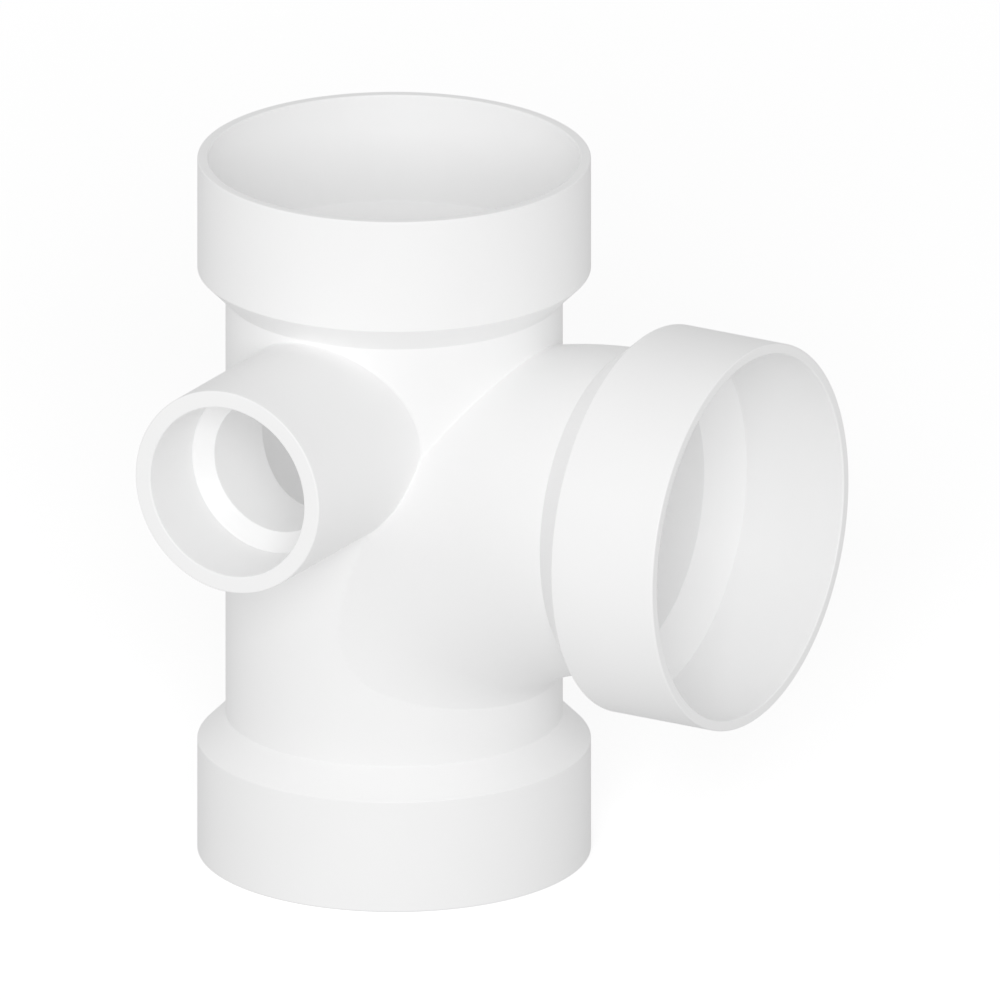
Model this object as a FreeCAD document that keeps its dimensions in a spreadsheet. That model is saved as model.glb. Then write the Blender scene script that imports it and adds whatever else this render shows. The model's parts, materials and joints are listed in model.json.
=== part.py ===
"""Sanitary tee with a side inlet: one moulded drain fitting in rigid white plastic.

The run stands upright on its lower socket. The branch leaves it along +X after sweeping up
out of the run, and the small side inlet leaves it along -Y, above the branch's axis. Each
mouth is a plain socket that a pipe is cemented into, up to a sloping stop.

The origin is the centre of the lower socket's mouth and +Z runs up the run's axis. Lengths
are in millimetres and angles in degrees.
"""
import FreeCAD, Part

import math
import os
from enum import IntEnum

import Sketcher

# Driving sizes of the fitting: alias, value, what it is
SIZES = [
    ("pipe_diameter", 88.9, "outside of the pipe that the run and the branch take"),
    ("pipe_clearance", 0.2, "added to that pipe's diameter in its socket"),
    ("socket_depth", 26.8, "how far the pipe goes in, up to its stop"),
    ("stop_height", 6.75, "how far the stop stands in from the socket's wall"),
    ("shoulder_angle", 45, "slope of the stop, and of the shoulder outside it"),
    ("wall", 2.55, "wall of the run, the branch and their sockets"),
    ("branch_height", 95.85, "lower mouth up to the branch's axis"),
    ("upper_height", 79.2, "branch's axis up to the upper mouth"),
    ("branch_reach", 98.45, "run's axis out to the branch's mouth"),
    ("branch_step", 0.7, "how much smaller the branch's tube is than the run's, in radius"),
    ("upper_throat_radius", 38.35, "underside of the branch's bend, next to its socket"),
    ("lower_throat_radius", 8.1, "underside of the branch's bend, where it meets the run"),
    ("upper_bend_turn", 35, "how far the branch turns down before its bend tightens"),
    ("side_pipe_diameter", 42.16, "outside of the pipe that the side inlet takes"),
    ("side_pipe_clearance", 0.2, "added to that pipe's diameter in its socket"),
    ("side_socket_depth", 20, "how far the side pipe goes in, up to its stop"),
    ("side_stop_height", 4.38, "how far the side inlet's stop stands in"),
    ("side_stop_length", 3.1, "length of that sloping stop along the inlet"),
    ("side_wall", 4.17, "wall of the side inlet at its socket"),
    ("side_reach", 80, "run's axis out to the side inlet's mouth"),
    ("side_rise", 18.5, "branch's axis up to the side inlet's axis"),
    ("edge_round", 0.4, "radius on the mouths, the shoulders and the stops"),
]

# Sizes that follow from the driving ones, as expressions of the sheet
SOCKET_RADIUS = "(sizes.pipe_diameter + sizes.pipe_clearance) / 2"
HUB_RADIUS = f"({SOCKET_RADIUS} + sizes.wall)"
BORE_RADIUS = f"({SOCKET_RADIUS} - sizes.stop_height)"
TUBE_RADIUS = f"({BORE_RADIUS} + sizes.wall)"
BRANCH_BORE_RADIUS = f"({BORE_RADIUS} - sizes.branch_step)"
BRANCH_TUBE_RADIUS = f"({BRANCH_BORE_RADIUS} + sizes.wall)"
# The wall is as thick at the corner as elsewhere, so the hub ends a little past its socket
HUB_LENGTH = "(sizes.socket_depth + sizes.wall * tan(sizes.shoulder_angle / 2))"
SHOULDER_LENGTH = "(sizes.stop_height / tan(sizes.shoulder_angle))"
RUN_LENGTH = "(sizes.branch_height + sizes.upper_height)"
UPPER_BEND_RADIUS = f"({BRANCH_TUBE_RADIUS} + sizes.upper_throat_radius)"
LOWER_BEND_RADIUS = f"({BRANCH_TUBE_RADIUS} + sizes.lower_throat_radius)"
SIDE_SOCKET_RADIUS = "(sizes.side_pipe_diameter + sizes.side_pipe_clearance) / 2"
SIDE_TUBE_RADIUS = f"({SIDE_SOCKET_RADIUS} + sizes.side_wall)"
SIDE_BORE_RADIUS = f"({SIDE_SOCKET_RADIUS} - sizes.side_stop_height)"
SIDE_HEIGHT = "(sizes.branch_height + sizes.side_rise)"
ROUND = "sizes.edge_round"


class Fixed(IntEnum):
    """Numbers that a sketch gives to its own origin and upright axis."""

    ORIGIN = -1
    UPRIGHT_AXIS = -2


class Spot(IntEnum):
    """Numbers that a sketch gives to the points of a line, an arc or a circle."""

    START = 1
    END = 2
    CENTRE = 3


def make_sheet(document):
    """Spreadsheet of the driving sizes, one named cell each."""
    sheet = document.addObject("Spreadsheet::Sheet", "sizes")
    for row, (alias, value, meaning) in enumerate(SIZES, start=1):
        sheet.set(f"A{row}", alias)
        sheet.set(f"B{row}", str(value))
        sheet.set(f"C{row}", meaning)
        sheet.setAlias(f"B{row}", alias)
    document.recompute()


def new_sketch(body, name, plane, offset_axis=None, offset=None):
    """Sketch on one of the body's own planes, moved along one of its axes by an expression."""
    sketch = body.newObject("Sketcher::SketchObject", name)
    support = next(item for item in body.Origin.OriginFeatures if item.Role == plane)
    sketch.AttachmentSupport = [(support, "")]
    sketch.MapMode = "FlatFace"
    if offset_axis:
        sketch.setExpression(f"AttachmentOffset.Base.{offset_axis}", offset)
    return sketch


def value_of(sketch, expression):
    """Present value of an expression of the sheet."""
    return float(sketch.evalExpression(expression))


def drive(sketch, expression, kind, *where):
    """Add a constraint whose size follows an expression."""
    index = sketch.addConstraint(Sketcher.Constraint(kind, *where, value_of(sketch, expression)))
    sketch.setExpression(f"Constraints[{index}]", expression)


def place_point(sketch, piece, spot, across, up):
    """Hold a point of the sketch at two expressions, measured from the sketch's origin."""
    drive(sketch, across, "DistanceX", Fixed.ORIGIN, Spot.START, piece, spot)
    drive(sketch, up, "DistanceY", Fixed.ORIGIN, Spot.START, piece, spot)


def round_corner(sketch, corner, before, after, side_before, side_after, radius):
    """Arc in a corner between two sides, which keeps the corner itself as a placed point."""
    size = value_of(sketch, radius)
    half_turn = before.getAngle(after) / 2
    centre = corner + (after - before).normalize() * (size / math.cos(half_turn))
    trim = size * math.tan(half_turn)
    ends = [corner - before * trim, corner + after * trim]
    spots = [Spot.START, Spot.END]
    if before.cross(after).z < 0:
        ends.reverse()
        spots.reverse()
    angles = [math.atan2(end.y - centre.y, end.x - centre.x) for end in ends]
    circle = Part.Circle(centre, FreeCAD.Vector(0, 0, 1), size)
    arc = sketch.addGeometry(Part.ArcOfCircle(circle, *angles))
    point = sketch.addGeometry(Part.Point(corner), True)
    sketch.addConstraint(Sketcher.Constraint("Tangent", side_before, Spot.END, arc, spots[0]))
    sketch.addConstraint(Sketcher.Constraint("Tangent", arc, spots[1], side_after, Spot.START))
    drive(sketch, radius, "Radius", arc)
    sketch.addConstraint(Sketcher.Constraint("PointOnObject", point, Spot.START, side_before))
    sketch.addConstraint(Sketcher.Constraint("PointOnObject", point, Spot.START, side_after))
    return point


def draw_outline(sketch, corners):
    """Closed outline. A corner is two expressions, with the radius third where it is rounded."""
    places = []
    for across, up, *_ in corners:
        places.append(FreeCAD.Vector(value_of(sketch, across), value_of(sketch, up), 0))
    followers = places[1:] + places[:1]
    directions = [(end - start).normalize() for start, end in zip(places, followers)]
    for start, end in zip(places, followers):
        sketch.addGeometry(Part.LineSegment(start, end))
    for index, (across, up, *radius) in enumerate(corners):
        previous = (index - 1) % len(corners)
        if radius:
            turn = (directions[previous], directions[index], previous, index)
            point = round_corner(sketch, places[index], *turn, radius[0])
        else:
            ends = (previous, Spot.END, index, Spot.START)
            sketch.addConstraint(Sketcher.Constraint("Coincident", *ends))
            point = index
        place_point(sketch, point, Spot.START, across, up)


def turn_outline(body, kind, name, sketch, axis):
    """Turn an outline once round an axis of its sketch, to add a solid or to cut one."""
    feature = body.newObject(f"PartDesign::{kind}", name)
    feature.Profile = sketch
    feature.ReferenceAxis = (sketch, [axis])


def add_run(body):
    """Outside of the run: a tube that steps out over a sloping shoulder to each socket."""
    outline = new_sketch(body, "run_outline", "XZ_Plane")
    draw_outline(outline, [
        ("0", "0"),
        (HUB_RADIUS, "0", ROUND),
        (HUB_RADIUS, HUB_LENGTH, ROUND),
        (TUBE_RADIUS, f"{HUB_LENGTH} + {SHOULDER_LENGTH}", ROUND),
        (TUBE_RADIUS, f"{RUN_LENGTH} - {HUB_LENGTH} - {SHOULDER_LENGTH}", ROUND),
        (HUB_RADIUS, f"{RUN_LENGTH} - {HUB_LENGTH}", ROUND),
        (HUB_RADIUS, RUN_LENGTH, ROUND),
        ("0", RUN_LENGTH),
    ])
    turn_outline(body, "Revolution", "run_outside", outline, "V_Axis")


def add_branch_hub(body):
    """Outside of the branch's socket. Its shoulder runs on as a cone, hidden in the branch."""
    outline = new_sketch(body, "branch_hub_outline", "XZ_Plane", "y", "sizes.branch_height")
    shoulder_start = f"sizes.branch_reach - {HUB_LENGTH}"
    draw_outline(outline, [
        ("sizes.branch_reach", "0"),
        ("sizes.branch_reach", HUB_RADIUS, ROUND),
        (shoulder_start, HUB_RADIUS, ROUND),
        (f"{shoulder_start} - {HUB_RADIUS} / tan(sizes.shoulder_angle)", "0"),
    ])
    turn_outline(body, "Revolution", "branch_hub_outside", outline, "H_Axis")


def draw_branch_path(body):
    """Axis of the branch: straight in from its mouth, then a wide bend and a tight one.

    The tight bend ends on the run's axis, pointing down it.
    """
    path = new_sketch(body, "branch_path", "XZ_Plane", "y", "sizes.branch_height")
    reach = value_of(path, "sizes.branch_reach")
    upper_radius = value_of(path, UPPER_BEND_RADIUS)
    lower_radius = value_of(path, LOWER_BEND_RADIUS)
    top = math.pi / 2
    meeting = top + math.radians(value_of(path, "sizes.upper_bend_turn"))
    towards_meeting = FreeCAD.Vector(math.cos(meeting), math.sin(meeting), 0)
    bend_start = lower_radius - (upper_radius - lower_radius) * towards_meeting.x
    upper_centre = FreeCAD.Vector(bend_start, -upper_radius, 0)
    lower_centre = upper_centre + towards_meeting * (upper_radius - lower_radius)
    facing = FreeCAD.Vector(0, 0, 1)
    straight, upper_bend, lower_bend = path.addGeometry([
        Part.LineSegment(FreeCAD.Vector(reach, 0, 0), FreeCAD.Vector(bend_start, 0, 0)),
        Part.ArcOfCircle(Part.Circle(upper_centre, facing, upper_radius), top, meeting),
        Part.ArcOfCircle(Part.Circle(lower_centre, facing, lower_radius), meeting, math.pi),
    ])
    place_point(path, straight, Spot.START, "sizes.branch_reach", "0")
    drive(path, UPPER_BEND_RADIUS, "Radius", upper_bend)
    drive(path, LOWER_BEND_RADIUS, "Radius", lower_bend)
    for constraint in (
        ("Horizontal", straight),
        ("Tangent", straight, Spot.END, upper_bend, Spot.START),
        ("Tangent", upper_bend, Spot.END, lower_bend, Spot.START),
        ("Horizontal", lower_bend, Spot.CENTRE, lower_bend, Spot.END),
        ("PointOnObject", lower_bend, Spot.END, Fixed.UPRIGHT_AXIS),
    ):
        path.addConstraint(Sketcher.Constraint(*constraint))
    turn = path.addConstraint(Sketcher.Constraint("Angle", upper_bend, meeting - top))
    path.setExpression(f"Constraints[{turn}]", "sizes.upper_bend_turn * 1 deg")
    return path


def sweep_branch(body, kind, name, radius, path):
    """Sweep a circle along the branch's axis, to add its outside or to cut its bore."""
    ring = new_sketch(body, f"{name}_ring", "YZ_Plane", "z", "sizes.branch_reach")
    centre = FreeCAD.Vector(0, value_of(ring, "sizes.branch_height"), 0)
    circle = ring.addGeometry(Part.Circle(centre, FreeCAD.Vector(0, 0, 1), value_of(ring, radius)))
    drive(ring, radius, "Radius", circle)
    place_point(ring, circle, Spot.CENTRE, "0", "sizes.branch_height")
    feature = body.newObject(f"PartDesign::{kind}", name)
    feature.Profile = ring
    feature.Spine = path


def add_side_inlet(body):
    """Outside of the side inlet: a plain round boss that starts inside the run."""
    outline = new_sketch(body, "side_inlet_outline", "YZ_Plane", "y", SIDE_HEIGHT)
    draw_outline(outline, [
        ("-sizes.side_reach", "0"),
        ("-sizes.side_reach", SIDE_TUBE_RADIUS, ROUND),
        ("0", SIDE_TUBE_RADIUS),
        ("0", "0"),
    ])
    turn_outline(body, "Revolution", "side_inlet_outside", outline, "H_Axis")


def cut_run(body):
    """Bore of the run, with a socket at each end that flares a little at its mouth."""
    outline = new_sketch(body, "run_bore_outline", "XZ_Plane")
    flare = f"{SOCKET_RADIUS} + 2 * {ROUND}"
    draw_outline(outline, [
        ("0", f"-{ROUND}"),
        (flare, f"-{ROUND}"),
        (flare, "0"),
        (SOCKET_RADIUS, "0", ROUND),
        (SOCKET_RADIUS, "sizes.socket_depth", ROUND),
        (BORE_RADIUS, f"sizes.socket_depth + {SHOULDER_LENGTH}", ROUND),
        (BORE_RADIUS, f"{RUN_LENGTH} - sizes.socket_depth - {SHOULDER_LENGTH}", ROUND),
        (SOCKET_RADIUS, f"{RUN_LENGTH} - sizes.socket_depth", ROUND),
        (SOCKET_RADIUS, RUN_LENGTH, ROUND),
        (flare, RUN_LENGTH),
        (flare, f"{RUN_LENGTH} + {ROUND}"),
        ("0", f"{RUN_LENGTH} + {ROUND}"),
    ])
    turn_outline(body, "Groove", "run_bore", outline, "V_Axis")


def cut_branch_socket(body):
    """Socket of the branch. Its stop runs on as a cone, lost in the branch's bore."""
    outline = new_sketch(body, "branch_socket_outline", "XZ_Plane", "y", "sizes.branch_height")
    flare = f"{SOCKET_RADIUS} + 2 * {ROUND}"
    socket_end = "sizes.branch_reach - sizes.socket_depth"
    draw_outline(outline, [
        (f"sizes.branch_reach + {ROUND}", "0"),
        (f"sizes.branch_reach + {ROUND}", flare),
        ("sizes.branch_reach", flare),
        ("sizes.branch_reach", SOCKET_RADIUS, ROUND),
        (socket_end, SOCKET_RADIUS, ROUND),
        (f"{socket_end} - {SOCKET_RADIUS} / tan(sizes.shoulder_angle)", "0"),
    ])
    turn_outline(body, "Groove", "branch_socket", outline, "H_Axis")


def cut_side_inlet(body):
    """Socket, sloping stop and bore of the side inlet, through into the run."""
    outline = new_sketch(body, "side_bore_outline", "YZ_Plane", "y", SIDE_HEIGHT)
    flare = f"{SIDE_SOCKET_RADIUS} + 2 * {ROUND}"
    socket_end = "sizes.side_socket_depth - sizes.side_reach"
    draw_outline(outline, [
        (f"-sizes.side_reach - {ROUND}", "0"),
        (f"-sizes.side_reach - {ROUND}", flare),
        ("-sizes.side_reach", flare),
        ("-sizes.side_reach", SIDE_SOCKET_RADIUS, ROUND),
        (socket_end, SIDE_SOCKET_RADIUS, ROUND),
        (f"{socket_end} + sizes.side_stop_length", SIDE_BORE_RADIUS, ROUND),
        ("0", SIDE_BORE_RADIUS),
        ("0", "0"),
    ])
    turn_outline(body, "Groove", "side_bore", outline, "H_Axis")


def check_build(document, body):
    """Stop if a feature failed, a cut took nothing away, or the body isn't one sound solid."""
    for item in document.Objects:
        if "Invalid" in item.State or "Error" in item.State:
            raise RuntimeError(f"{item.Label} did not build: {item.State}")
    for item in body.Group:
        is_cut = item.TypeId in ("PartDesign::Groove", "PartDesign::SubtractivePipe")
        if is_cut and item.Shape.Volume >= item.BaseFeature.Shape.Volume:
            raise RuntimeError(f"{item.Label} cut nothing")
    if body.Shape.isNull() or not body.Shape.isValid() or len(body.Shape.Solids) != 1:
        raise RuntimeError(f"{body.Label} is not one sound solid")


document = FreeCAD.newDocument("sanitary_tee")
make_sheet(document)
tee = document.addObject("PartDesign::Body", "sanitary_tee")
tee.Placement = FreeCAD.Placement()
document.recompute()

# Outside of the moulding
add_run(tee)
add_branch_hub(tee)
branch_path = draw_branch_path(tee)
sweep_branch(tee, "AdditivePipe", "branch_outside", BRANCH_TUBE_RADIUS, branch_path)
add_side_inlet(tee)

# Hollow inside, cut once all the outside is there so that nothing stands in a bore
cut_run(tee)
cut_branch_socket(tee)
sweep_branch(tee, "SubtractivePipe", "branch_bore", BRANCH_BORE_RADIUS, branch_path)
cut_side_inlet(tee)
document.recompute()
check_build(document, tee)

os.makedirs("parts", exist_ok=True)
tee.Shape.exportStep(f"parts/{tee.Label}.step")
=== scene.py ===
import json
import math

import bmesh
import bpy
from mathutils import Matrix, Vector
from mathutils.geometry import intersect_point_line


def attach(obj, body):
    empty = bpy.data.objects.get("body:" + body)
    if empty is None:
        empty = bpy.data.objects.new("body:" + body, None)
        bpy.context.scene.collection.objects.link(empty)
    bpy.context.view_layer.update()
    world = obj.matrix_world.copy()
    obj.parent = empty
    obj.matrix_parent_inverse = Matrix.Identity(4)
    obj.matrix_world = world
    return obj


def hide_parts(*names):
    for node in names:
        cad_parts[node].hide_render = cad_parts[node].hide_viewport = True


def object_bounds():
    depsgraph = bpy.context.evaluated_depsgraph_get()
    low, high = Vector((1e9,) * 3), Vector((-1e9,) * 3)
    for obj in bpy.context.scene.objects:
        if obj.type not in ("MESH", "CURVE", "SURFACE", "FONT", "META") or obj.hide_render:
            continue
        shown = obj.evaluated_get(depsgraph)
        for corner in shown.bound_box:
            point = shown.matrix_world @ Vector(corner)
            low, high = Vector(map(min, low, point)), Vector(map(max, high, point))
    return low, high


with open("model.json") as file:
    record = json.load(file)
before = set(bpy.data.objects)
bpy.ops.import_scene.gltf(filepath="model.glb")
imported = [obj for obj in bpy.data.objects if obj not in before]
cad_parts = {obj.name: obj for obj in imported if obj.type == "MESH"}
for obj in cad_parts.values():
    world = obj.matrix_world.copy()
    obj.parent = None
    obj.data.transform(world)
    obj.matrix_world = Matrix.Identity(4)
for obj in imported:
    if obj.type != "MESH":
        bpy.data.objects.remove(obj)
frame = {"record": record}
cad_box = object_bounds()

# The run
# The upright tube of the drain fitting, with a thicker hub round the socket at each end. It is
# moulded in one shot of rigid white plastic with the branch and the side inlet, so all three are
# drawn as plain solids first, then joined and hollowed.
MM = 0.001
UP = Vector((0, 0, 1))
SOCKETS = {mount["name"]: mount for mount in frame["record"]["mounts"]}
RUN_LENGTH = cad_box[1].z
HUB_RADIUS = cad_box[1].y
SOCKET_RADIUS = SOCKETS["upper_socket"]["dims"]["r_mm"] * MM
WALL = HUB_RADIUS - SOCKET_RADIUS
SOCKET_DEPTH = 26.8 * MM
STOP_HEIGHT = 6.75 * MM
SHOULDER_ANGLE = math.radians(45)
RIM_ANGLE = math.radians(90)
BORE_RADIUS = SOCKET_RADIUS - STOP_HEIGHT
TUBE_RADIUS = BORE_RADIUS + WALL
HUB_LENGTH = SOCKET_DEPTH + WALL * math.tan(SHOULDER_ANGLE / 2)
ROUND_SIDES = 192
TUBE_RINGS = 22
SAME_SIZE = 1e-7
EDGE_ROUND = 0.4 * MM
RIM_SEGMENTS = 4
STEP_SEGMENTS = 3
SHARP_AS_A_RIM = math.radians(60)
SHARP_AS_A_STEP = math.radians(30)


def add_cylinder(name, radius, start, direction, length, sides=ROUND_SIDES):
    """Closed cylinder with its first end centred at start, left in edit mode."""
    bpy.ops.object.select_all(action="DESELECT")
    bpy.ops.mesh.primitive_cylinder_add(
        vertices=sides,
        radius=radius,
        depth=length,
        end_fill_type="NGON",
        location=start + direction * (length / 2),
        rotation=UP.rotation_difference(direction).to_euler(),
    )
    piece = bpy.context.object
    piece.name = name
    bpy.ops.object.transform_apply(location=True, rotation=True, scale=True)
    bpy.ops.object.mode_set(mode="EDIT")
    return piece


def pick(piece, kind, wanted):
    """In edit mode, leave selected only the VERT, EDGE or FACE items that the test accepts."""
    bpy.ops.mesh.select_mode(type=kind)
    bpy.ops.mesh.select_all(action="DESELECT")
    mesh = bmesh.from_edit_mesh(piece.data)
    for item in {"VERT": mesh.verts, "EDGE": mesh.edges, "FACE": mesh.faces}[kind]:
        item.select_set(wanted(item))
    mesh.select_flush_mode()
    bmesh.update_edit_mesh(piece.data)


def pick_end(piece, direction):
    """Select the flat end that lies furthest along a direction."""
    mesh = bmesh.from_edit_mesh(piece.data)
    end = max(mesh.faces, key=lambda face: face.calc_center_median().dot(direction)).index
    pick(piece, "FACE", lambda face: face.index == end)


def selected_ring(piece):
    """Centre and radius of the ring of points that is selected."""
    points = [vert.co for vert in bmesh.from_edit_mesh(piece.data).verts if vert.select]
    centre = sum(points, Vector()) / len(points)
    return centre, (points[0] - centre).length


def draw_out(piece, direction, steps):
    """Pull the selected end out along a direction, to each length and new radius in turn."""
    for length, radius in steps:
        bpy.ops.mesh.extrude_region_move(
            TRANSFORM_OT_translate={"value": direction * length}
        )
        centre, present = selected_ring(piece)
        if abs(radius - present) > SAME_SIZE:
            ratio = radius / present
            bpy.ops.transform.resize(value=(ratio, ratio, ratio), center_override=centre)


def round_selected(turn, segments):
    """Give the selected edges, which turn by an angle, the moulding's small radius."""
    bpy.ops.mesh.bevel(
        offset=EDGE_ROUND * math.tan(turn / 2), segments=segments, profile=0.5, clamp_overlap=False
    )


def round_sharp_edges(over, turn, segments):
    """Round every edge that is sharper than an angle, by the size that suits its own turn."""
    bpy.ops.mesh.select_mode(type="EDGE")
    bpy.ops.mesh.select_all(action="DESELECT")
    bpy.ops.mesh.edges_select_sharp(sharpness=over)
    round_selected(turn, segments)


def finish_solid():
    """Leave edit mode with every face pointing outwards."""
    bpy.ops.mesh.select_all(action="SELECT")
    bpy.ops.mesh.normals_make_consistent(inside=False)
    bpy.ops.object.mode_set(mode="OBJECT")


def draw_run(name, end_radius, end_length, tube_radius, start):
    """Upright solid with a wide stretch at each end and a sloping step to the tube between."""
    step = end_radius - tube_radius
    run = add_cylinder(name, end_radius, Vector((0, 0, start)), UP, end_length)
    pick_end(run, UP)
    tube_length = RUN_LENGTH - 2 * (start + end_length + step)
    draw_out(run, UP, [(step, tube_radius)])
    draw_out(run, UP, [(tube_length / TUBE_RINGS, tube_radius)] * TUBE_RINGS)
    draw_out(run, UP, [(step, end_radius), (end_length, end_radius)])
    return run


run = draw_run("run", HUB_RADIUS, HUB_LENGTH, TUBE_RADIUS, 0)
round_sharp_edges(SHARP_AS_A_RIM, RIM_ANGLE, RIM_SEGMENTS)
round_sharp_edges(SHARP_AS_A_STEP, SHOULDER_ANGLE, STEP_SEGMENTS)
finish_solid()

# The branch
# A hub and a shoulder like the run's, then a tube that bends down into the run so that water turns
# with the flow. The bend starts wide and ends tight, and its last ring lies inside the run.
INWARDS = Vector((-1, 0, 0))
BRANCH_REACH = cad_box[1].x
BRANCH_HEIGHT = SOCKETS["branch_socket"]["pos_m"][2]
BRANCH_STEP = 0.7 * MM
BRANCH_BORE_RADIUS = BORE_RADIUS - BRANCH_STEP
BRANCH_TUBE_RADIUS = BRANCH_BORE_RADIUS + WALL
WIDE_BEND_RADIUS = 78 * MM
TIGHT_BEND_RADIUS = 47.75 * MM
WIDE_BEND_TURN = math.radians(35)
TIGHT_BEND_TURN = math.radians(90) - WIDE_BEND_TURN
BEND_START = TIGHT_BEND_RADIUS + (WIDE_BEND_RADIUS - TIGHT_BEND_RADIUS) * math.sin(WIDE_BEND_TURN)
WIDE_BEND_CENTRE = Vector((BEND_START, 0, BRANCH_HEIGHT - WIDE_BEND_RADIUS))
TIGHT_BEND_CENTRE = WIDE_BEND_CENTRE + (WIDE_BEND_RADIUS - TIGHT_BEND_RADIUS) * Vector(
    (-math.sin(WIDE_BEND_TURN), 0, math.cos(WIDE_BEND_TURN))
)
BEND_AXIS = Vector((0, 1, 0))
BEND_STEP = math.radians(1.5)


def bend_on(centre, turn):
    """Sweep the selected end round a bend's centre, in even steps."""
    bpy.ops.mesh.spin(
        steps=round(turn / BEND_STEP), dupli=False, angle=turn, center=centre, axis=BEND_AXIS
    )


def draw_branch(name, end_radius, end_length, tube_radius, start):
    """Level solid with a wide stretch at its mouth, a sloping step and the bent tube."""
    step = end_radius - tube_radius
    mouth = Vector((BRANCH_REACH - start, 0, BRANCH_HEIGHT))
    branch = add_cylinder(name, end_radius, mouth, INWARDS, end_length)
    pick_end(branch, INWARDS)
    to_bend = mouth.x - end_length - BEND_START
    into_bend = math.asin((step - to_bend) / WIDE_BEND_RADIUS)
    draw_out(branch, INWARDS, [(to_bend, tube_radius)])
    bpy.ops.transform.rotate(
        value=into_bend, orient_axis="Y", center_override=WIDE_BEND_CENTRE
    )
    bend_on(WIDE_BEND_CENTRE, WIDE_BEND_TURN - into_bend)
    bend_on(TIGHT_BEND_CENTRE, TIGHT_BEND_TURN)
    return branch


branch = draw_branch("branch", HUB_RADIUS, HUB_LENGTH, BRANCH_TUBE_RADIUS, 0)
round_sharp_edges(SHARP_AS_A_RIM, RIM_ANGLE, RIM_SEGMENTS)
round_sharp_edges(SHARP_AS_A_STEP, SHOULDER_ANGLE, STEP_SEGMENTS)
finish_solid()

# The side inlet
# A plain round boss for a smaller pipe, with a thicker wall than the rest. It stands out of the run
# above the branch's axis, and its foot lies inside the run, near the run's axis.
TO_RUN = Vector((0, 1, 0))
SIDE_SIDES = 128
SIDE_REACH = -cad_box[0].y
SIDE_HEIGHT = SOCKETS["side_inlet_socket"]["pos_m"][2]
SIDE_SOCKET_RADIUS = SOCKETS["side_inlet_socket"]["dims"]["r_mm"] * MM
SIDE_WALL = 4.17 * MM
SIDE_RADIUS = SIDE_SOCKET_RADIUS + SIDE_WALL
SIDE_FOOT = 20 * MM
SIDE_RINGS = 14
RIM_BAND = 0.1 * MM

side_ring_length = (SIDE_REACH - SIDE_FOOT) / SIDE_RINGS
side_mouth = Vector((0, -SIDE_REACH, SIDE_HEIGHT))
side_inlet = add_cylinder(
    "side_inlet", SIDE_RADIUS, side_mouth, TO_RUN, side_ring_length, SIDE_SIDES
)
pick_end(side_inlet, TO_RUN)
draw_out(side_inlet, TO_RUN, [(side_ring_length, SIDE_RADIUS)] * (SIDE_RINGS - 1))
pick(
    side_inlet,
    "EDGE",
    lambda edge: all(vert.co.y < RIM_BAND - SIDE_REACH for vert in edge.verts),
)
round_selected(RIM_ANGLE, RIM_SEGMENTS)
finish_solid()

# The cores
# The steel cores that are pulled out of the mould leave the sockets, their sloping stops and the
# waterways behind them. Each is drawn as the solid that it takes away.
PAST_MOUTH = 5 * MM
SIDE_SOCKET_DEPTH = 20 * MM
SIDE_STOP_HEIGHT = 4.38 * MM
SIDE_STOP_LENGTH = 3.1 * MM
SIDE_STOP_ANGLE = math.atan(SIDE_STOP_HEIGHT / SIDE_STOP_LENGTH)
SIDE_BORE_RADIUS = SIDE_SOCKET_RADIUS - SIDE_STOP_HEIGHT
SIDE_CORE_FOOT_BAND = 1 * MM

core_end = SOCKET_DEPTH + PAST_MOUTH
run_core = draw_run("run_core", SOCKET_RADIUS, core_end, BORE_RADIUS, -PAST_MOUTH)
round_sharp_edges(SHARP_AS_A_STEP, SHOULDER_ANGLE, STEP_SEGMENTS)
finish_solid()
branch_core = draw_branch("branch_core", SOCKET_RADIUS, core_end, BRANCH_BORE_RADIUS, -PAST_MOUTH)
round_sharp_edges(SHARP_AS_A_STEP, SHOULDER_ANGLE, STEP_SEGMENTS)
finish_solid()


def at_side_stop(edge):
    """True for the edges of the step in the side inlet's core, and not for those at its ends."""
    if edge.calc_face_angle() < SHARP_AS_A_STEP:
        return False
    return -SIDE_REACH < edge.verts[0].co.y < -SIDE_FOOT - SIDE_CORE_FOOT_BAND


side_core = add_cylinder(
    "side_core",
    SIDE_SOCKET_RADIUS,
    Vector((0, -SIDE_REACH - PAST_MOUTH, SIDE_HEIGHT)),
    TO_RUN,
    SIDE_SOCKET_DEPTH + PAST_MOUTH,
    SIDE_SIDES,
)
pick_end(side_core, TO_RUN)
side_bore_length = SIDE_REACH - SIDE_SOCKET_DEPTH - SIDE_STOP_LENGTH - SIDE_FOOT
draw_out(side_core, TO_RUN, [(SIDE_STOP_LENGTH, SIDE_BORE_RADIUS)])
draw_out(side_core, TO_RUN, [(side_bore_length / SIDE_RINGS, SIDE_BORE_RADIUS)] * SIDE_RINGS)
pick(side_core, "EDGE", at_side_stop)
round_selected(SIDE_STOP_ANGLE, STEP_SEGMENTS)
finish_solid()

# The moulding
# One piece of rigid white plastic with no joint in it. The solids run into each other along small
# rounded creases, and the cores leave a small round at every mouth.
ORDER_ALONG = Vector((0.531, 0.743, 0.407))
ON_WALL = 0.03 * MM
CREASE_ROUND = 0.5 * MM
CREASE_SEGMENTS = 4
CREASE_LOWEST = 85 * MM
CREASE_HIGHEST = SIDE_HEIGHT + SIDE_RADIUS + ON_WALL
CREASE_FURTHEST_OUT = 0.6 * SIDE_REACH
CREASE_TURN = math.radians(4)
CREASE_SPACING = 0.5 * MM
CREASE_PASSES = 2
CLEAR_OF_CREASE = 0.8 * MM
SAME_POINT = 0.06 * MM
RING_SIDES = 60
FLAT_WITHIN = math.radians(1)
SMOOTH_UNDER = math.radians(30)


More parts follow.
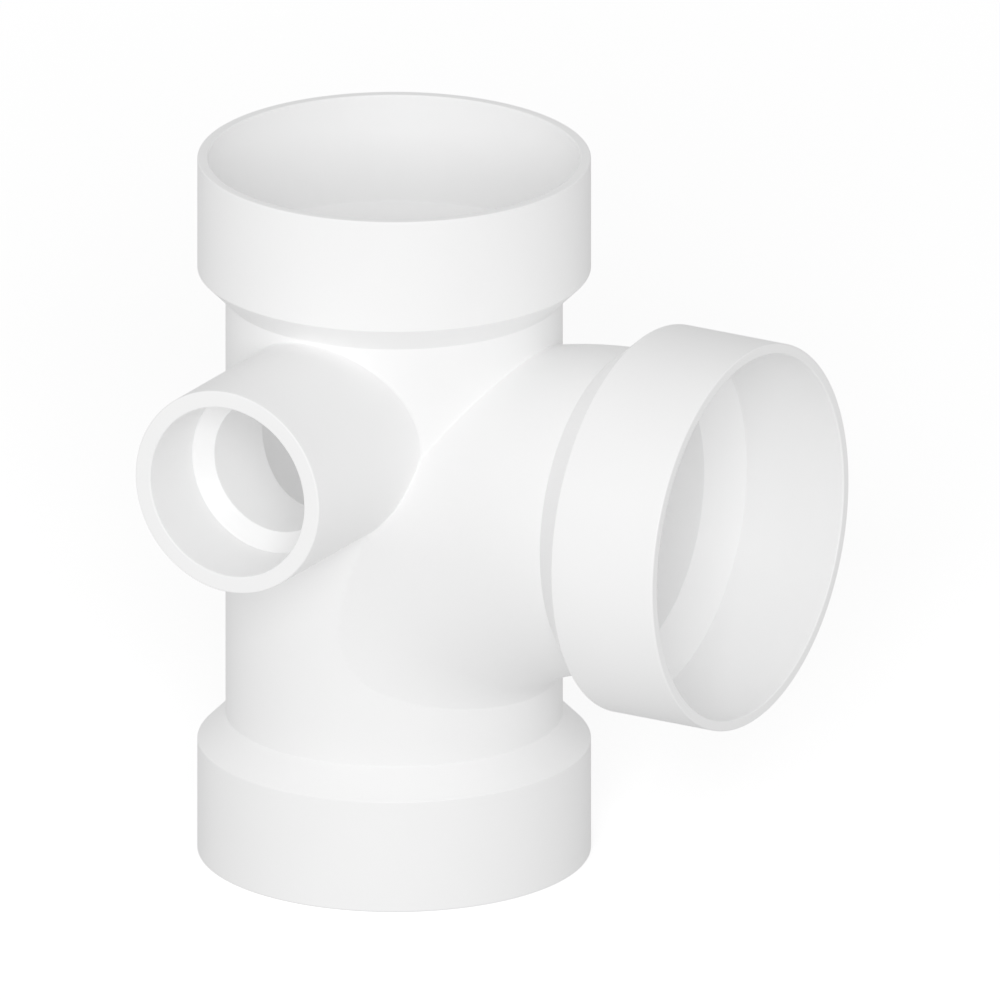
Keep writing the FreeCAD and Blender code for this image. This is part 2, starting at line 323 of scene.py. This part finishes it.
def put_in_order(piece):
    """Number all parts of a mesh along a slanting line, so that each run gives the same mesh."""
    bpy.ops.object.mode_set(mode="EDIT")
    mesh = bmesh.from_edit_mesh(piece.data)
    mesh.verts.sort(key=lambda vert: vert.co.dot(ORDER_ALONG))
    mesh.edges.sort(key=lambda edge: sum((v.co for v in edge.verts), Vector()).dot(ORDER_ALONG))
    mesh.faces.sort(key=lambda face: face.calc_center_median().dot(ORDER_ALONG))
    bmesh.update_edit_mesh(piece.data)
    bpy.ops.object.mode_set(mode="OBJECT")


def join_or_cut(piece, other, operation):
    """Combine a second solid into a piece, and take that solid away."""
    bpy.ops.object.select_all(action="DESELECT")
    bpy.context.view_layer.objects.active = piece
    piece.select_set(True)
    bpy.ops.object.modifier_add(type="BOOLEAN")
    piece.modifiers[-1].operation = operation
    piece.modifiers[-1].solver = "EXACT"
    piece.modifiers[-1].object = other
    bpy.ops.object.modifier_apply(modifier=piece.modifiers[-1].name)
    bpy.data.objects.remove(other)
    put_in_order(piece)


def from_run_axis(point):
    """Distance from the axis of the run."""
    return math.hypot(point.x, point.y)


def from_branch_axis(point):
    """Distance from the axis of the branch's socket."""
    return math.hypot(point.y, point.z - BRANCH_HEIGHT)


def from_side_axis(point):
    """Distance from the axis of the side inlet."""
    return math.hypot(point.x, point.z - SIDE_HEIGHT)


def is_crease(edge, distance, radius):
    """True where a round wall ends against another surface, away from sockets and their steps."""
    for vert in edge.verts:
        if not CREASE_LOWEST < vert.co.z < CREASE_HIGHEST:
            return False
        if vert.co.y < -CREASE_FURTHEST_OUT or abs(distance(vert.co) - radius) > ON_WALL:
            return False
    if len(edge.link_faces) != 2 or edge.calc_face_angle() < CREASE_TURN:
        return False
    whole = [
        all(abs(distance(vert.co) - radius) < ON_WALL for vert in face.verts)
        for face in edge.link_faces
    ]
    return whole[0] != whole[1]


def find_crease(mesh, distance, radius):
    """The edges of a crease, and the points on it."""
    edges = {edge for edge in mesh.edges if is_crease(edge, distance, radius)}
    return edges, {vert for edge in edges for vert in edge.verts}


def crowds(vert, crease, crease_points):
    """True for a point that isn't on a crease but is too near to it to leave room for a round."""
    if vert in crease_points:
        return False
    near = {point for face in vert.link_faces for point in face.verts} & crease_points
    for edge in {edge for point in near for edge in point.link_edges} & crease:
        first, last = (point.co for point in edge.verts)
        share = intersect_point_line(vert.co, first, last)[1]
        foot = first.lerp(last, min(1, max(0, share)))
        if (vert.co - foot).length < CLEAR_OF_CREASE:
            return True
    return False


def round_crease(piece, distance, radius):
    """Even out the points along the edge of a round wall, then round that edge."""
    bpy.ops.object.mode_set(mode="EDIT")
    bpy.ops.mesh.select_mode(type="VERT")
    bpy.ops.mesh.select_all(action="SELECT")
    bpy.ops.mesh.dissolve_degenerate(threshold=SAME_POINT)
    for _ in range(CREASE_PASSES):
        mesh = bmesh.from_edit_mesh(piece.data)
        crease, crease_points = find_crease(mesh, distance, radius)
        pick(piece, "VERT", lambda vert: vert in crease_points)
        bpy.ops.mesh.remove_doubles(threshold=CREASE_SPACING)
        mesh = bmesh.from_edit_mesh(piece.data)
        crease, crease_points = find_crease(mesh, distance, radius)
        pick(piece, "VERT", lambda vert: crowds(vert, crease, crease_points))
        bpy.ops.mesh.dissolve_verts()
    pick(piece, "EDGE", lambda edge: is_crease(edge, distance, radius))
    bpy.ops.mesh.bevel(
        offset=CREASE_ROUND,
        segments=CREASE_SEGMENTS,
        profile=0.5,
        clamp_overlap=False,
        loop_slide=False,
    )
    pick(piece, "FACE", lambda face: 4 < len(face.verts) < RING_SIDES)
    bpy.ops.mesh.quads_convert_to_tris(quad_method="BEAUTY", ngon_method="BEAUTY")
    bpy.ops.mesh.select_all(action="SELECT")
    bpy.ops.mesh.vert_connect_nonplanar(angle_limit=FLAT_WITHIN)
    finish_solid()


join_or_cut(run, branch, "UNION")
round_crease(run, from_run_axis, TUBE_RADIUS)
join_or_cut(run, side_inlet, "UNION")
round_crease(run, from_side_axis, SIDE_RADIUS)
join_or_cut(run_core, branch_core, "UNION")
round_crease(run_core, from_run_axis, BORE_RADIUS)
join_or_cut(run_core, side_core, "UNION")
round_crease(run_core, from_side_axis, SIDE_BORE_RADIUS)
join_or_cut(run, run_core, "DIFFERENCE")

moulding = run
moulding.name = "moulded_tee"
moulding.data.name = "moulded_tee"

MOUTHS = (
    (lambda point: point.z, from_run_axis, SOCKET_RADIUS),
    (lambda point: point.z - RUN_LENGTH, from_run_axis, SOCKET_RADIUS),
    (lambda point: point.x - BRANCH_REACH, from_branch_axis, SOCKET_RADIUS),
    (lambda point: point.y + SIDE_REACH, from_side_axis, SIDE_SOCKET_RADIUS),
)


def at_inner_mouth(edge):
    """True for the edge between a mouth's flat rim and the wall of its socket."""
    points = [vert.co for vert in edge.verts]
    for from_rim, distance, radius in MOUTHS:
        if all(
            abs(from_rim(point)) < ON_WALL and abs(distance(point) - radius) < ON_WALL
            for point in points
        ):
            return True
    return False


bpy.ops.object.mode_set(mode="EDIT")
pick(moulding, "EDGE", at_inner_mouth)
round_selected(RIM_ANGLE, RIM_SEGMENTS)
bpy.ops.mesh.select_all(action="SELECT")
bpy.ops.mesh.dissolve_degenerate(threshold=SAME_POINT)
finish_solid()
bpy.ops.object.shade_smooth_by_angle(angle=SMOOTH_UNDER)
bpy.ops.object.modifier_add(type="WEIGHTED_NORMAL")
moulding.modifiers[-1].keep_sharp = True
bpy.ops.object.modifier_apply(modifier=moulding.modifiers[-1].name)

# White plastic
# Rigid PVC as it leaves the mould: nearly pure white, with a soft gloss. The finish is a little
# uneven where the melt flowed, and finely textured by the surface of the steel.
LEAST_WHITE = 0.942
MOST_WHITE = 0.959
MOST_POLISHED = 0.44
LEAST_POLISHED = 0.52
USUAL_LOW = 0.3
USUAL_HIGH = 0.7
GRAIN_DEPTH = 0.1 * MM

white_plastic = bpy.data.materials.new("white plastic")
white_plastic.use_nodes = True
nodes = white_plastic.node_tree.nodes
links = white_plastic.node_tree.links
plastic = nodes["Principled BSDF"]
plastic.inputs["IOR"].default_value = 1.53
plastic.inputs["Metallic"].default_value = 0.0
place = nodes.new("ShaderNodeTexCoord")


def add_noise(scale, detail, roughness):
    """Uneven pattern that stays fixed to the fitting, mostly between the usual low and high."""
    noise = nodes.new("ShaderNodeTexNoise")
    noise.inputs["Scale"].default_value = scale
    noise.inputs["Detail"].default_value = detail
    noise.inputs["Roughness"].default_value = roughness
    links.new(place.outputs["Object"], noise.inputs["Vector"])
    return noise.outputs["Fac"]


melt_flow = add_noise(scale=22.0, detail=3.0, roughness=0.55)
whiteness = nodes.new("ShaderNodeValToRGB")
whiteness.color_ramp.elements[0].position = USUAL_LOW
whiteness.color_ramp.elements[0].color = (LEAST_WHITE, LEAST_WHITE, LEAST_WHITE, 1)
whiteness.color_ramp.elements[1].position = USUAL_HIGH
whiteness.color_ramp.elements[1].color = (MOST_WHITE, MOST_WHITE, MOST_WHITE, 1)
links.new(melt_flow, whiteness.inputs["Fac"])
links.new(whiteness.outputs["Color"], plastic.inputs["Base Color"])

steel_polish = add_noise(scale=75.0, detail=5.0, roughness=0.6)
gloss = nodes.new("ShaderNodeMapRange")
gloss.inputs["From Min"].default_value = USUAL_LOW
gloss.inputs["From Max"].default_value = USUAL_HIGH
gloss.inputs["To Min"].default_value = MOST_POLISHED
gloss.inputs["To Max"].default_value = LEAST_POLISHED
links.new(steel_polish, gloss.inputs["Value"])
links.new(gloss.outputs["Result"], plastic.inputs["Roughness"])

steel_grain = add_noise(scale=1400.0, detail=2.0, roughness=0.5)
fine_bump = nodes.new("ShaderNodeBump")
fine_bump.inputs["Strength"].default_value = 0.06
fine_bump.inputs["Distance"].default_value = GRAIN_DEPTH
links.new(steel_grain, fine_bump.inputs["Height"])
links.new(fine_bump.outputs["Normal"], plastic.inputs["Normal"])

moulding.data.materials.clear()
moulding.data.materials.append(white_plastic)

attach(moulding, "root")
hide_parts("sanitary_tee")

# The studio
# A plain pale floor, an even grey-white surround, one soft light at the camera and weaker ones to
# the left and behind. The floor is kept out of the light that reaches the fitting, because the
# photograph shows none from below. The view is parallel, 30 degrees to the side and 19.4 up.
FLOOR_SIZE = 12
FLOOR_GLOW = 0.3
SURROUND_STRENGTH = 0.62

bpy.ops.mesh.primitive_plane_add(size=FLOOR_SIZE, location=(0, 0, 0))
floor = bpy.context.object
floor.name = "floor"
floor.visible_diffuse = False
floor.visible_glossy = False
floor_paint = bpy.data.materials.new("pale floor")
floor_paint.use_nodes = True
paint = floor_paint.node_tree.nodes["Principled BSDF"]
paint.inputs["Base Color"].default_value = (0.95, 0.95, 0.95, 1)
paint.inputs["Roughness"].default_value = 0.9
paint.inputs["Specular IOR Level"].default_value = 0.0
paint.inputs["Emission Color"].default_value = (1, 1, 1, 1)
paint.inputs["Emission Strength"].default_value = FLOOR_GLOW
floor.data.materials.append(floor_paint)

world = bpy.data.worlds.new("studio")
bpy.context.scene.world = world
world.use_nodes = True
surround = world.node_tree.nodes["Background"]
surround.inputs["Color"].default_value = (1, 1, 1, 1)
surround.inputs["Strength"].default_value = SURROUND_STRENGTH

VIEW_AZIMUTH = math.radians(30)
VIEW_ELEVATION = math.radians(19.41)
TO_CAMERA = Vector(
    (
        math.cos(VIEW_ELEVATION) * math.sin(VIEW_AZIMUTH),
        -math.cos(VIEW_ELEVATION) * math.cos(VIEW_AZIMUTH),
        math.sin(VIEW_ELEVATION),
    )
)
VIEW_RIGHT = Vector((math.cos(VIEW_AZIMUTH), math.sin(VIEW_AZIMUTH), 0))
VIEW_UP = TO_CAMERA.cross(VIEW_RIGHT)
VIEW_WIDTH = 239.2 * MM
VIEW_OFF_AXIS = 25.31 * MM
VIEW_BELOW_BRANCH = 7.39 * MM
CAMERA_DISTANCE = 1.5
LIT_POINT = Vector((0.02, 0, 0.09))
TO_LEFT_LIGHT = TO_CAMERA * 0.3 + VIEW_UP * 0.3 - VIEW_RIGHT
TO_BACK_LIGHT = Vector((-0.5, 0.8, 0.05))
WALL_TO_WALL_STEPS = 12
ALL_LIGHT_STEPS = 16


def aim(item, direction):
    """Turn a light or the camera so that it looks back along a direction."""
    item.rotation_euler = direction.to_track_quat("Z", "Y").to_euler()


def add_light(name, direction, distance, size, power):
    """Large square soft light that faces the fitting from a direction."""
    bpy.ops.object.light_add(type="AREA", location=LIT_POINT + direction.normalized() * distance)
    light = bpy.context.object
    light.name = name
    light.data.shape = "SQUARE"
    light.data.size = size
    light.data.energy = power
    aim(light, direction)
    return light


add_light("key light", TO_CAMERA, distance=1.8, size=0.7, power=10.9)
add_light("left light", TO_LEFT_LIGHT, distance=2.0, size=1.6, power=3.3)

# The light behind shapes the back and leaves no shine on the upper rim, which the photograph
# shows darker than the hub.
back_light = add_light("back light", TO_BACK_LIGHT, distance=2.0, size=0.6, power=7.0)
back_light.visible_glossy = False

# White walls pass light on to each other many times before it leaves a tube again.
bpy.context.scene.cycles.max_bounces = ALL_LIGHT_STEPS
bpy.context.scene.cycles.diffuse_bounces = WALL_TO_WALL_STEPS

bpy.ops.object.camera_add()
camera = bpy.context.object
camera.name = "camera"
camera.data.type = "ORTHO"
camera.data.ortho_scale = VIEW_WIDTH
branch_level = Vector((0, 0, BRANCH_HEIGHT))
view_centre = branch_level + VIEW_RIGHT * VIEW_OFF_AXIS - VIEW_UP * VIEW_BELOW_BRANCH
camera.location = view_centre + TO_CAMERA * CAMERA_DISTANCE
aim(camera, TO_CAMERA)
bpy.context.scene.camera = camera
bpy.context.scene.view_settings.view_transform = "Standard"
